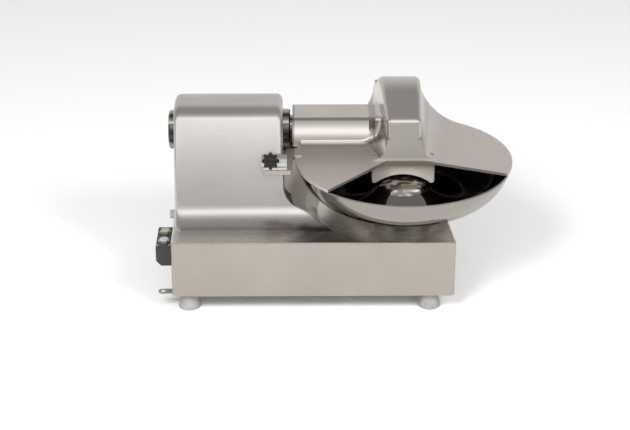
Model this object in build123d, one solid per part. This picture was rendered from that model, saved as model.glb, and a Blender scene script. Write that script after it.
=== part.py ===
from build123d import *
import math
import os

# Table-top meat bowl cutter. Millimetres, +Z up, +X to the bowl's side, -Y towards the operator.
# While it is built, the bowl turns about X = Y = 0 and Z = 0 is the table.
# At the end every piece is shifted so that the box's bottom centre is the origin.

# Bowl
trough_x = 144.0            # distance from the bowl's axis to the knife shaft
trough_r = 118.0            # trough section
shaft_rise = 24.0           # knife shaft above the rim
dome_drop = 48.0            # crown of the centre dome below the rim
bowl_wall = 2.5
bowl_air = 135.0            # rim above the top of the base
rim_bead_r = 2.2
knife_gap = 2.5             # knife tip to trough

# Base and column casting
foot_h = 42.0               # underside of the base
base_h = 146.0
base_right_front = 121.0
base_right_back = 86.0
base_front = -180.0
back_y = 205.0
cast_wall = 5.0
column_left = -560.0
column_right = -296.0
column_over = 113.5         # top of the column above the knife shaft
column_inset = 4.0          # base stands out beyond the column
column_foot_y = -74.0       # where the leaning front would meet the top of the base
lean = 15.6                 # degrees
flare_r = 60.0
column_front_r = 35.0
column_back_r = 130.0
column_edge_r = 16.0
scoop_top_drop = 18.0       # shoulder below the rim
scoop_r_base = 209.0
scoop_r_step = 240.0
scoop_step_h = 25.5
scoop_bend_h = 56.0
scoop_bend_r = 45.0

# Lid
lid_r = 265.0
lid_gap = 1.0               # lid above the rim
lid_t = 7.0
lid_wall = 5.0
lid_corner_left = (-180.6, -177.6)      # front corners of the plate, beside the opening
lid_corner_right = (245.0, -96.9)
opening_left = -44.0        # opening's edges where they meet the guard
opening_right = 51.0
tube_front_y = 85.0
tube_back_y = 204.0
tube_h = 70.0               # above the plate
tube_front_r = 8.0
tube_corner_r = 38.0
tube_left = -272.0
tube_neck_x = -115.0       # tube's edges beyond this are left sharp
guard_left = -40.0
guard_right = 43.0
guard_left_back = -66.0
guard_right_back = 50.0
guard_front_y = -19.0
guard_back_y = 266.0
guard_brow_y = 8.0
guard_brow_h = 97.0         # above the plate
guard_brow_r = 20.0
guard_heel_r = 18.0
guard_edge_r = 16.0
guard_clear_r = 126.0       # inside of the guard about the shaft
guard_foot_r = 42.0         # flare of the guard's foot at the front
guard_foot_left_r = 90.0    # and at the back
guard_foot_right_r = 118.0
guard_neck_r = 12.0         # where the tube runs into the guard
foot_lip = 4.0
comb_y = 4.0
comb_t = 8.0
comb_w = 155.0
comb_drop = 72.0
comb_arch = 40.0
comb_corner_r = 7.0
comb_edge_r = 3.0

# Hinge
hinge_y = 292.0
hinge_rise = 8.0            # pin above the rim
hinge_pin_r = 7.0
hinge_x = -65.0
hinge_span = 230.0
knuckle_w = 34.0
arm_w = 28.0
knuckle_r = 17.0
hinge_root = 41.0           # how far the webs reach in over the plate

# Knife shaft
shaft_r = 15.0
run_fit = 0.05              # radial clearance of a running fit
soft_fit = 0.3
bearing_w = 16.0
bearing_r = 31.0
knife_t = 3.0
knife_pitch = 17.0
knife_hub_r = 27.0
knife_hex = 24.0            # across flats
knife_count = 3
knife_start = -24.0
knife_nut_w = 12.0
spacer_r = 22.0

# Attachment hub and bearing nose
hub_r = 49.0
hub_out = 21.0
collar_r = 51.0
collar_w = 18.0
nose_r = 36.0
nose_w = 9.0

# Motor, belt and worm drive
worm_module = 2.0
worm_r = 14.0
wheel_teeth = 56
wheel_w = 14.0
mesh_slack = 0.35
motor_z = 128.0
motor_r = 62.0
motor_core_r = 40.0
motor_inset = 95.0          # motor's left end inside the column's left side
motor_length = 130.0
motor_shaft_r = 11.0
pulley_inset = 60.0
pulley_r = 40.0
pulley_w = 22.0
belt_w = 13.0
belt_t = 8.0
worm_block_x = 56.0
worm_block_w = 16.0

# Bowl spindle
spindle_r = 15.0
spindle_bearing_r = 27.5
spindle_bearing_w = 13.0
carrier_r = 52.0
carrier_h = 44.0
bowl_hub_r = 46.0
bowl_hub_t = 12.0
drive_pin_r = 4.0
drive_pin_circle = 30.0

# Latch
tab_t = 11.0
tab_w = 30.0
tab_arm_x = -273.0
tab_root_y = 50.0
latch_rise = 6.0            # stud's axis above the barrel's middle
keeper_gap = 1.0
latch_x = -324.0            # star knob
barrel_r = 17.0
barrel_y = -69.0
barrel_left = -345.0
barrel_right = -285.0
knob_r = 21.0
knob_t = 18.0
knob_lobes = 8
stud_r = 5.0
nut_travel = 4.0

# Switch box
box_x = 38.0
box_y_front = -155.0
box_y_back = -50.0
box_z_top = 166.0
box_z_low = 116.0
button_r = 11.0
button_travel = 4.0
stem_r = 4.0
box_wall = 2.5
panel_t = 2.5
gland_y = 60.0
gland_z = 151.0
gland_out = 17.0
gland_bore = 4.5

# Feet and hold-down strap
foot_top_r = 20.5
foot_low_r = 26.5
foot_inset_front = 35.0
foot_left_x = -525.0
foot_right_x = 62.0
foot_back_y = 165.0
strap_t = 3.0
strap_w = 22.0
strap_out = 64.0
strap_hole_r = 6.5

# Worked out from the sizes above
base_low = foot_h
base_left = column_left - column_inset
base_top = foot_h + base_h
rim_z = base_top + bowl_air
shaft_y = trough_x
shaft_z = rim_z + shaft_rise
knife_r = trough_r - knife_gap
column_top = shaft_z + column_over
motor_left = column_left + motor_inset
motor_right = motor_left + motor_length
pulley_x = column_left + pulley_inset
slope = math.tan(math.radians(lean))
scoop_top = rim_z - scoop_top_drop
scoop_r_top = -column_right
sag = shaft_rise + dome_drop
dome_r = (trough_x**2 + sag**2 - trough_r**2) / (2 * (trough_r - sag))
dome_z = rim_z - dome_drop - dome_r
rim_r = trough_x + math.sqrt(trough_r**2 - shaft_rise**2)
lid_low = rim_z + lid_gap
lid_top = lid_low + lid_t
barrel_z = lid_low + tab_t + barrel_r
guard_r = guard_clear_r + lid_wall
worm_lead = math.pi * worm_module
wheel_r = worm_module * wheel_teeth / 2
motor_y = worm_r + wheel_r
hinge_z = rim_z + hinge_rise
foot_front_y = base_front + foot_inset_front
plate_t = 4.0
bell_t = 16.0
lug_shift = hinge_span / 2 - arm_w - 1 - knuckle_w / 2

knife_axle = Plane(origin=(0, shaft_y, shaft_z), x_dir=(1, 0, 0), z_dir=(0, -1, 0))
motor_axle = Plane(origin=(0, motor_y, motor_z), x_dir=(1, 0, 0), z_dir=(0, -1, 0))
bowl_axle = Plane(origin=(0, 0, 0), x_dir=(0, 0, 1), z_dir=(0, -1, 0))
side_plane = Plane(origin=(0, 0, 0), x_dir=(0, 1, 0), z_dir=(1, 0, 0))
front_plane = Plane(origin=(0, 0, 0), x_dir=(1, 0, 0), z_dir=(0, -1, 0))

pieces = {}


def turned(points, axle):
    """Solid of revolution. Each point is a distance along the axle and a radius."""
    face = axle * make_face(Polyline(*points, close=True))
    return revolve(face, Axis(axle.origin, axle.x_dir), 360)


def block(low, high):
    """Box between two corners."""
    size = [high[i] - low[i] for i in range(3)]
    centre = [(high[i] + low[i]) / 2 for i in range(3)]
    return Pos(*centre) * Box(*size)


def profile(points, radii):
    """Closed outline with a radius at each corner."""
    return make_face(FilletPolyline(*points, radius=radii, close=True))


def along_x(face, x0, x1):
    """Prism of an outline in Y and Z between two places along X."""
    return Pos(x0, 0, 0) * extrude(side_plane * face, x1 - x0)


def along_y(face, y0, y1):
    """Prism of an outline in X and Z between two places along Y."""
    return Pos(0, y1, 0) * extrude(front_plane * face, y1 - y0)


def polar(radius, angle):
    """Point at a radius and an angle in degrees."""
    return (radius * math.cos(math.radians(angle)), radius * math.sin(math.radians(angle)))


def wall_y(z):
    """Leaning front of the column at a height."""
    return column_foot_y + (z - base_top) * slope


def base_right_at(y):
    """Right side of the tapering base at a depth."""
    share = (y - base_front) / (back_y - base_front)
    return base_right_front + share * (base_right_back - base_right_front)


def discs(plane, places, radius, length):
    """Equal cylinders at several places on a plane."""
    face = Sketch() + [place * Circle(radius) for place in places]
    return extrude(plane * face, length)


def screw(x, y, z, direction, radius, length, head_r, head_h):
    """Cap screw whose head sits on the given point and whose shank runs along the direction."""
    plane = Plane(origin=(x, y, z), z_dir=direction)
    shank = extrude(plane * Circle(radius), length)
    head = extrude(plane * Circle(head_r), -head_h)
    socket = Plane(origin=plane.from_local_coords((0, 0, -head_h)), z_dir=direction)
    return shank + head - extrude(socket * RegularPolygon(head_r * 0.5, 6), head_h * 0.6)


# Bowl, with its hub, spindle and worm wheel


def bowl_line(grow):
    """Section of the bowl from the crown to the rim, moved outwards by a distance."""
    tilt = math.degrees(math.atan2(shaft_z - dome_z, trough_x))
    r_dome = dome_r - grow
    r_trough = trough_r + grow
    dome = CenterArc((0, dome_z), r_dome, 90, tilt - 90)
    end = math.degrees(math.asin(-shaft_rise / r_trough))
    trough = CenterArc((trough_x, shaft_z), r_trough, 180 + tilt, end + 180 - tilt)
    return dome, trough


def build_bowl():
    inner = bowl_line(0)
    outer = bowl_line(bowl_wall)
    ends = [Line(inner[0] @ 0, outer[0] @ 0), Line(inner[1] @ 1, outer[1] @ 1)]
    wall = make_face([*inner, *outer, *ends])
    bead = Pos(rim_r + bowl_wall / 2, rim_z - rim_bead_r) * Circle(rim_bead_r)
    shell = revolve(front_plane * (wall + bead), Axis.Z, 360)
    pieces["bowl"] = shell
    top = dome_z + dome_r - bowl_wall
    dome_core = Pos(0, 0, dome_z) * Sphere(dome_r - bowl_wall)
    plug = extrude(Plane.XY.offset(top - bowl_hub_t) * Circle(bowl_hub_r), bowl_hub_t) & dome_core
    seat = top - bowl_hub_t
    taper = turned([(seat - 1, spindle_r + 2.2), (seat + 8, spindle_r - 1.8), (seat + 8, 0), (seat - 1, 0)], bowl_axle)
    pin_holes = discs(Plane.XY.offset(seat), PolarLocations(drive_pin_circle, 3), drive_pin_r + 0.2, 7.5)
    pieces["bowl_hub"] = plug - taper - pin_holes
    return seat


def build_spindle(seat):
    flange_t = 8.0
    wheel_mid = motor_z
    low = wheel_mid - wheel_w / 2 - 12
    rod = [
        (low, 0), (low, spindle_r - 4), (wheel_mid + wheel_w / 2 + 2, spindle_r - 4),
        (wheel_mid + wheel_w / 2 + 2, spindle_r), (seat - flange_t, spindle_r), (seat - flange_t, bowl_hub_r - 4),
        (seat, bowl_hub_r - 4), (seat, spindle_r + 1.5), (seat + 7, spindle_r - 1.6), (seat + 7, 0),
    ]
    spindle = turned(rod, bowl_axle)
    places = PolarLocations(drive_pin_circle, 3)
    under = Plane.XY.offset(seat - flange_t)
    pieces["bowl_spindle"] = spindle - discs(under, places, drive_pin_r, flange_t)
    pieces["bowl_drive_pins"] = discs(under, places, drive_pin_r, flange_t + 6.5)
    washer = turned([(low + 4, spindle_r - 4), (low + 4, 24), (low + 8, 24), (low + 8, spindle_r - 4)], bowl_axle)
    nut = extrude(Plane.XY.offset(low + 1) * (RegularPolygon(16, 6) - Circle(spindle_r - 4)), 3)
    pieces["spindle_nut"] = nut + washer
    return wheel_mid


def tooth_gap(depth, width_low, width_top):
    """Straight-sided gap between two wheel teeth, pointing along +X in its own plane."""
    r_out = wheel_r + worm_module
    r_in = r_out - depth
    points = [(r_in, -width_low), (r_out + 1, -width_top), (r_out + 1, width_top), (r_in, width_low)]
    return make_face(Polyline(*points, close=True))


def wheel_section(turn):
    """Section of the worm wheel with a gap centred on +Y, turned by an angle."""
    blank = Circle(wheel_r + worm_module)
    half = math.pi * worm_module / 4 + mesh_slack / 2
    gap = tooth_gap(2.25 * worm_module, half - 0.85, half + 0.9)
    gaps = [Rot(0, 0, 90 + turn + i * 360 / wheel_teeth) * gap for i in range(wheel_teeth)]
    return blank - gaps


def build_worm_wheel(mid):
    lead_angle = math.atan2(worm_module, 2 * worm_r)
    twist = math.degrees(math.tan(lead_angle) * wheel_w / 2 / wheel_r)
    low = Pos(0, 0, mid - wheel_w / 2) * wheel_section(-twist)
    high = Pos(0, 0, mid + wheel_w / 2) * wheel_section(twist)
    wheel = loft([low.faces()[0], high.faces()[0]], ruled=True)
    recess = 4.0
    for z in (mid - wheel_w / 2, mid + wheel_w / 2 - recess):
        wheel = wheel - extrude(Plane.XY.offset(z) * (Circle(wheel_r - 10) - Circle(24)), recess)
    wheel = wheel - extrude(Plane.XY.offset(mid - wheel_w) * Circle(spindle_r - 4), 2 * wheel_w)
    pieces["worm_wheel"] = wheel


def build_worm():
    turns = 6
    length = turns * worm_lead
    root = worm_r - 1.2 * worm_module
    tip = worm_r + 0.9 * worm_module
    half = math.pi * worm_module / 4 - mesh_slack / 2
    flank = math.tan(math.radians(20))
    foot = half + (worm_r - root + 0.5) * flank
    crest = half - (tip - worm_r) * flank
    start = -length / 2 - worm_lead
    path = Helix(pitch=worm_lead, height=length + 2 * worm_lead, radius=worm_r)
    section = Plane(origin=(worm_r, 0, 0), x_dir=(1, 0, 0), z_dir=(0, -1, 0)) * make_face(
        Polyline((root - 0.5 - worm_r, -foot), (tip - worm_r, -crest), (tip - worm_r, crest), (root - 0.5 - worm_r, foot), close=True)
    )
    thread = sweep(section, path=path, is_frenet=True)
    thread = Pos(0, 0, start) * thread
    trim = Pos(0, 0, 0) * Cylinder(worm_r * 2, length + worm_module)
    core = Cylinder(root, length + 14)
    bore = Cylinder(motor_shaft_r - 2, length + 40)
    worm = (core + (thread & trim)) - bore
    frame = Plane(origin=(0, motor_y, motor_z), x_dir=(0, -1, 0), z_dir=(1, 0, 0))
    pieces["worm"] = frame.location * worm



# Housing casting


def scoop(grow):
    """Dished clearance round the bowl, moved into the casting by a distance."""
    low = base_top - grow
    high = scoop_top - grow
    r_top = scoop_r_top + grow
    points = [
        (scoop_r_base + grow, low), (scoop_r_step + grow, low + scoop_step_h), (r_top, low + scoop_bend_h),
        (r_top, high), (0, high), (0, low),
    ]
    return revolve(front_plane * profile(points, [0, scoop_bend_r / 2, scoop_bend_r, 0, 0, 0]), Axis.Z, 360)


def column_side():
    """Side view of the column, with the flare at its foot."""
    low = base_low + 60
    front = base_front + 20
    points = [
        (front, low), (front, base_top), (column_foot_y, base_top),
        (wall_y(column_top), column_top), (back_y, column_top), (back_y, low),
    ]
    return profile(points, [0, 0, flare_r, column_front_r, column_back_r, 0])


def base_plan():
    """Plan of the base, tapering towards the back on its right."""
    points = [
        (base_left, base_front), (base_right_front, base_front),
        (base_right_back, back_y), (base_left, back_y),
    ]
    return profile(points, [8, 8, 8, 8])


foot_places = [
    (foot_left_x, foot_front_y), (foot_right_x, foot_front_y),
    (foot_left_x, foot_back_y), (foot_right_x - 20, foot_back_y),
]
pillar_r = 13.0
pillar_top = base_low + 60.0

# Each base plate screw with the way from it to the wall that carries its boss
plate_screw_places = [
    ((-230, base_front + 20), (0, -17)),
    ((-230, back_y - 20), (0, 17)),
    ((base_left + 20, 10), (-17, 0)),
    ((base_right_at(10) - 25, 10), (21, 0)),
]


def build_housing():
    side = column_side()
    base = Pos(0, 0, base_low) * extrude(base_plan(), base_h)
    base = fillet(base.faces().sort_by(Axis.Z)[-1].edges(), 4)
    base = fillet(base.faces().sort_by(Axis.Z)[0].edges(), 6)
    column = along_x(side, column_left, column_right)
    chain = [
        edge
        for face in (column.faces().sort_by(Axis.X)[0], column.faces().sort_by(Axis.X)[-1])
        for edge in face.edges()
        if edge.center().Z > base_low + 61 and edge.center().Y > base_front + 21
    ]
    column = fillet(chain, column_edge_r)
    shoulder = along_x(side, column_right - 20, 0)
    shoulder = shoulder & block((column_right - 20, base_front, base_low + 60), (0, back_y, scoop_top))
    outer = base + column + (shoulder - scoop(0))
    outer = outer - scoop(0)
    inner_side = offset(side, amount=-cast_wall)
    inner_plan = offset(base_plan(), amount=-cast_wall)
    inner = Pos(0, 0, base_low - 1) * extrude(inner_plan, base_h - cast_wall + 1)
    inner = inner + along_x(inner_side, column_left + cast_wall, column_right - cast_wall)
    low = (column_right - 30, base_front + 30, base_low + 70)
    high = (-20, back_y - cast_wall, scoop_top - cast_wall)
    inner = inner + (along_x(inner_side, column_right - 30, -20) & block(low, high))
    housing = outer - (inner - scoop(cast_wall))
    for x, y in foot_places:
        wall = back_y - 2 if y > 0 else base_front + 2
        pillar = Pos(x, y, base_low + plate_t) * Cylinder(pillar_r, pillar_top - base_low - plate_t, align=(Align.CENTER, Align.CENTER, Align.MIN))
        web = block((x - 4, min(y, wall), base_low + plate_t), (x + 4, max(y, wall), pillar_top))
        housing = housing + pillar + web
    for (x, y), (dx, dy) in plate_screw_places:
        low = (min(x - 8, x + dx), min(y - 8, y + dy), base_low + plate_t)
        high = (max(x + 8, x + dx), max(y + 8, y + dy), base_low + plate_t + 18)
        housing = housing + block(low, high)
    housing = housing - turned([(column_left - 10, 0), (column_left - 10, 36), (column_left + 10, 36), (column_left + 10, 0)], knife_axle)
    housing = housing - turned([(column_right - 10, 0), (column_right - 10, 40), (column_right + 10, 40), (column_right + 10, 0)], knife_axle)
    housing = housing - turned([(base_top - 10, 0), (base_top - 10, 36), (base_top + 1, 36), (base_top + 1, 0)], bowl_axle)
    return housing


def build_base_parts():
    plate = extrude(Plane.XY.offset(base_low) * offset(base_plan(), amount=-cast_wall - soft_fit), plate_t)
    bolts = Part()
    for i, (x, y) in enumerate(foot_places):
        rise = strap_t
        cone = turned([(0, 0), (0, foot_low_r - 2), (2, foot_low_r), (foot_h - rise - 1, foot_top_r), (foot_h - rise, foot_top_r - 1), (foot_h - rise, 0)],
                      Plane(origin=(x, y, 0), x_dir=(0, 0, 1), z_dir=(0, -1, 0)))
        pocket = Pos(x, y, 7) * Cylinder(9, 14)
        shank = Pos(x, y, 14) * Cylinder(4, 60, align=(Align.CENTER, Align.CENTER, Align.MIN))
        pieces[f"rubber_foot_{i + 1}"] = cone - pocket - (shank & block((x - 30, y - 30, 0), (x + 30, y + 30, foot_h)))
        bolts = bolts + screw(x, y, 14, (0, 0, 1), 4, foot_h + 14, 7, 6)
    pieces["foot_bolts"] = bolts
    screws = Part()
    for (x, y), _ in plate_screw_places:
        screws = screws + screw(x, y, base_low, (0, 0, 1), 2.5, 16, 4.2, 4)
    return plate - bolts - screws, bolts, screws


def build_strap():
    """Hold-down strap clamped under the left front foot, and washers of its thickness at the others."""
    x, y = foot_places[0]
    end = x - strap_out
    bar = SlotCenterToCenter(strap_out, strap_w) if strap_out > strap_w else Circle(strap_w / 2)
    bar = Pos((x + end) / 2, y) * bar
    bar = bar - Pos(x, y) * Circle(4) - Pos(end, y) * Circle(strap_hole_r)
    pieces["hold_down_strap"] = extrude(Plane.XY.offset(base_low - strap_t) * bar, strap_t)
    rings = [Pos(px, py) * (Circle(foot_top_r - 4) - Circle(4)) for px, py in foot_places[1:]]
    pieces["foot_washers"] = extrude(Plane.XY.offset(base_low - strap_t) * (Sketch() + rings), strap_t)



# Lid casting: plate, tube over the shaft and knife guard


def guard_side():
    """Side view of the knife guard."""
    brow = (guard_brow_y, lid_top + guard_brow_h)
    dy = brow[0] - shaft_y
    dz = brow[1] - shaft_z
    reach = math.degrees(math.acos(guard_r / math.hypot(dy, dz)))
    start = math.degrees(math.atan2(dz, dy)) - reach
    end = math.degrees(math.acos((guard_back_y - shaft_y) / guard_r))
    arc = CenterArc((shaft_y, shaft_z), guard_r, start, end - start)
    sill = [(guard_back_y, lid_low), (guard_front_y, lid_low), (guard_front_y, lid_top)]
    face = make_face([arc, Polyline(arc @ 1, *sill, brow, arc @ 0)])
    face = fillet(face.vertices().sort_by_distance(Vertex(*brow, 0))[0], guard_brow_r)
    return fillet(face.vertices().sort_by_distance(Vertex(*(arc @ 1)))[0], guard_heel_r)


def guard_plan():
    """Plan of the knife guard, wider towards the back."""
    points = [
        (guard_left, guard_front_y), (guard_right, guard_front_y),
        (guard_right_back, guard_back_y), (guard_left_back, guard_back_y),
    ]
    return make_face(Polyline(*points, close=True))


def foot_section(left, right, left_r, right_r, y):
    """Section of the guard's foot, whose sides curve out to the plate."""
    high = lid_top + max(left_r, right_r) + foot_lip
    points = [
        (left - left_r - foot_lip, lid_low), (left - left_r - foot_lip, lid_top), (left, lid_top), (left, high),
        (right, high), (right, lid_top), (right + right_r + foot_lip, lid_top), (right + right_r + foot_lip, lid_low),
    ]
    return Pos(0, y, 0) * (front_plane * profile(points, [0, 0, left_r, 0, 0, right_r, 0, 0]))


def tube_side(inset):
    """Section of the tube over the shaft."""
    front = tube_front_y + inset
    back = tube_back_y - inset
    top = lid_top + tube_h - inset
    points = [(front, lid_low), (front, top), (back, top), (back, lid_low)]
    return profile(points, [0, tube_front_r - inset, tube_corner_r - inset, 0])


def beyond(start, end, share):
    """Point on the line from start through end, past end by a share of its length."""
    return tuple(end[i] + share * (end[i] - start[i]) for i in range(2))


def lid_opening():
    """Plan of what is cut away in front of the guard."""
    left = (opening_left, guard_front_y)
    right = (opening_right, guard_front_y)
    far_left = beyond(left, lid_corner_left, 1)
    far_right = beyond(right, lid_corner_right, 1)
    front = -1.5 * lid_r
    return make_face(Polyline(
        left, lid_corner_left, far_left, (far_left[0], front),
        (far_right[0], front), far_right, lid_corner_right, right, close=True,
    ))


def lid_tab():
    """Plan of the arm that reaches from the plate to the lock."""
    front = barrel_y - tab_w / 2
    back = barrel_y + tab_w / 2
    left = barrel_left + 4
    heel = tab_arm_x - 15
    points = [
        (left, front), (tab_arm_x, front), (tab_arm_x + 2, 6), (tab_arm_x + 23, 8), (tab_arm_x + 23, tab_root_y),
        (heel, tab_root_y), (heel, back), (left, back),
    ]
    return profile(points, [4, 4, 10, 0, 0, 4, 0, 4])


def lid_lugs():
    """Hinge eyes and the webs that carry them."""
    web_side = profile(
        [
            (guard_back_y - hinge_root, lid_low), (guard_back_y - hinge_root, lid_top + lid_wall),
            (hinge_y, lid_top + lid_wall), (hinge_y, lid_low),
        ],
        [0, 4, 0, 0],
    )
    lugs = Part()
    for x in (hinge_x - lug_shift, hinge_x + lug_shift):
        x0 = x - knuckle_w / 2
        x1 = x + knuckle_w / 2
        lugs = lugs + along_x(Pos(hinge_y, hinge_z) * Circle(knuckle_r), x0, x1) + along_x(web_side, x0, x1)
    return lugs


def build_lid():
    side = guard_side()
    disc = Pos(0, 0, lid_low) * extrude(Circle(lid_r), lid_t)
    foot = loft(
        [
            foot_section(guard_left, guard_right, guard_foot_r, guard_foot_r, guard_front_y),
            foot_section(guard_left_back, guard_right_back, guard_foot_left_r, guard_foot_right_r, guard_back_y),
        ],
        ruled=True,
    )
    foot = foot & along_x(side, -lid_r, lid_r)
    foot = foot & (Pos(0, 0, lid_low) * extrude(Circle(lid_r), lid_r))
    skirt = disc + foot - Pos(0, 0, lid_low - 1) * extrude(lid_opening(), lid_r)
    hood = along_x(side, -lid_r, lid_r) & (Pos(0, 0, lid_low) * extrude(guard_plan(), lid_r))
    flanks = hood.faces().sort_by(Axis.X)
    rim = [e for face in (flanks[0], flanks[-1]) for e in face.edges() if e.center().Z > lid_top + 1]
    hood = fillet(rim, guard_edge_r)
    tube = along_x(tube_side(0), tube_left, 0)
    lid = skirt + hood + tube
    neck = [
        e for e in lid.edges()
        if all(
            tube_front_y - 0.1 < point.Y < tube_back_y + 2 and tube_neck_x < point.X < guard_left - 5 and point.Z > lid_top - 0.1
            for point in (e @ 0, e @ 0.5, e @ 1)
        )
        and e.length > 1.5
    ]
    lid = fillet(neck, guard_neck_r)
    lid = lid + Pos(0, 0, lid_low) * extrude(lid_tab(), tab_t) + lid_lugs()
    room = offset(guard_plan(), amount=-lid_wall)
    lid = lid - along_x(tube_side(lid_wall), tube_left - 1, 0)
    hollow = along_x(offset(side, amount=-lid_wall), -lid_r, lid_r)
    lid = lid - (hollow & (Pos(0, 0, lid_low - 1) * extrude(room, lid_r)))
    lid = lid - Pos(0, 0, lid_low - 1) * extrude(room, lid_t + 3 * lid_wall)
    return lid - along_x(Pos(hinge_y, hinge_z) * Circle(hinge_pin_r), hinge_x - hinge_span, hinge_x + hinge_span)


def build_comb():
    """Splash plate that hangs from the lid into the trough, arched over the dome."""
    half = comb_w / 2
    low = rim_z - comb_drop
    outline = Polyline((-half, low), (-half, lid_low), (half, lid_low), (half, low))
    arch = ThreePointArc((half, low), (0, rim_z - comb_arch), (-half, low))
    face = make_face([outline, arch])
    tips = [v for v in face.vertices() if v.Y < low + 1]
    plate = along_y(fillet(tips, comb_corner_r), comb_y, comb_y + comb_t)
    back = comb_y + comb_t
    for side in (-1, 1):
        x = side * (half - comb_t / 2)
        plate = plate + block((x - comb_t / 2, back - 1, low + 2 * comb_corner_r), (x + comb_t / 2, back + 22, lid_low))
    fronts = [e for e in plate.edges() if abs(e.center().Y - comb_y) < 0.01 and abs(abs(e.center().X) - half) < 0.01]
    return fillet(fronts, comb_edge_r)


def build_hinge():
    plate = block((hinge_x - hinge_span / 2, back_y, 75), (hinge_x + hinge_span / 2, back_y + 10, base_top - 8))
    arm = profile(
        [(back_y, 85), (back_y, base_top - 8), (270, 262), (hinge_y - knuckle_r, hinge_z), (hinge_y + knuckle_r, hinge_z), (309, 250), (back_y + 30, 85)],
        [0, 30, 30, 0, 0, 40, 8],
    )
    bracket = plate
    for x0 in (hinge_x - hinge_span / 2, hinge_x + hinge_span / 2 - arm_w):
        bracket = bracket + along_x(arm, x0, x0 + arm_w) + along_x(Pos(hinge_y, hinge_z) * Circle(knuckle_r), x0, x0 + arm_w)
    bracket = bracket - along_x(Pos(hinge_y, hinge_z) * Circle(hinge_pin_r + run_fit), hinge_x - hinge_span, hinge_x + hinge_span)
    over = 3
    x0 = hinge_x - hinge_span / 2 - over
    x1 = hinge_x + hinge_span / 2 + over
    pieces["hinge_pin"] = along_x(Pos(hinge_y, hinge_z) * Circle(hinge_pin_r), x0, x1)
    screws = Part()
    for x in (hinge_x - 55, hinge_x, hinge_x + 55):
        for z in (95, base_top - 28):
            screws = screws + screw(x, back_y + 10, z, (0, -1, 0), 4, 15, 7, 6)
    pieces["hinge_screws"] = screws
    pieces["hinge_bracket"] = bracket - screws
    return screws


# Knife shaft and what it carries


def build_knives():
    hub = Circle(knife_hub_r)
    edge = ThreePointArc((knife_r, 0), polar(knife_r * 0.84, 42), (-6, knife_hub_r))
    back = ThreePointArc((24, -12), polar(knife_r * 0.62, 14), (knife_r, 0))
    blade = make_face([edge, back, Line((-6, knife_hub_r), (24, -12))])
    outline = (hub + blade) - RegularPolygon(knife_hex / 2, 6, major_radius=False)
    for i in range(knife_count):
        x = knife_start + i * knife_pitch
        knife = extrude(Rot(0, 0, i * 360 / knife_count) * outline, knife_t)
        place = Plane(origin=(x, shaft_y, shaft_z), x_dir=(0, 1, 0), z_dir=(1, 0, 0))
        pieces[f"knife_{i + 1}"] = place.location * knife
    rings = Part()
    for i in range(knife_count):
        x = knife_start + i * knife_pitch + knife_t
        length = knife_pitch - knife_t if i < knife_count - 1 else 5
        place = Plane(origin=(x, shaft_y, shaft_z), x_dir=(0, 1, 0), z_dir=(1, 0, 0))
        face = Circle(spacer_r) - RegularPolygon(knife_hex / 2, 6, major_radius=False)
        rings = rings + extrude(place * face, length)
    pieces["knife_spacers"] = rings
    end = knife_start + (knife_count - 1) * knife_pitch + knife_t + 5
    place = Plane(origin=(end, shaft_y, shaft_z), x_dir=(0, 1, 0), z_dir=(1, 0, 0))
    grips = [polar(spacer_r + 2, a) for a in range(0, 360, 60)]
    nut = Circle(spacer_r) - [Pos(*g) * Circle(5) for g in grips] - Circle(9)
    pieces["knife_nut"] = extrude(place * nut, knife_nut_w)
    return end


def build_shaft(end):
    collar = 4
    tang = column_left - 12
    pieces_profile = [
        (column_left + 8, 0), (column_left + 8, shaft_r), (knife_start - collar, shaft_r),
        (knife_start - collar, spacer_r - 2), (knife_start, spacer_r - 2), (knife_start, 0),
    ]
    shaft = turned(pieces_profile, knife_axle)
    drive = Plane(origin=(tang, shaft_y, shaft_z), x_dir=(0, 1, 0), z_dir=(1, 0, 0))
    shaft = shaft + extrude(drive * RegularPolygon(8, 6, major_radius=False), column_left + 8 - tang)
    hexagon = Plane(origin=(knife_start, shaft_y, shaft_z), x_dir=(0, 1, 0), z_dir=(1, 0, 0))
    shaft = shaft + extrude(hexagon * RegularPolygon(knife_hex / 2, 6, major_radius=False), end - knife_start)
    shaft = shaft + turned([(end, 0), (end, 9), (end + knife_nut_w + 2, 9), (end + knife_nut_w + 2, 0)], knife_axle)
    pieces["knife_shaft"] = shaft


def bearing(x, width, r_out, r_in, axle):
    """Ball bearing with recessed seals."""
    mid = (r_out + r_in) / 2
    lip = (r_out - r_in) / 5
    ring = [
        (x, r_in), (x, mid - lip), (x + 1.2, mid - lip), (x + 1.2, mid + lip), (x, mid + lip), (x, r_out),
        (x + width, r_out), (x + width, mid + lip), (x + width - 1.2, mid + lip), (x + width - 1.2, mid - lip),
        (x + width, mid - lip), (x + width, r_in),
    ]
    return turned(ring, axle)


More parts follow.
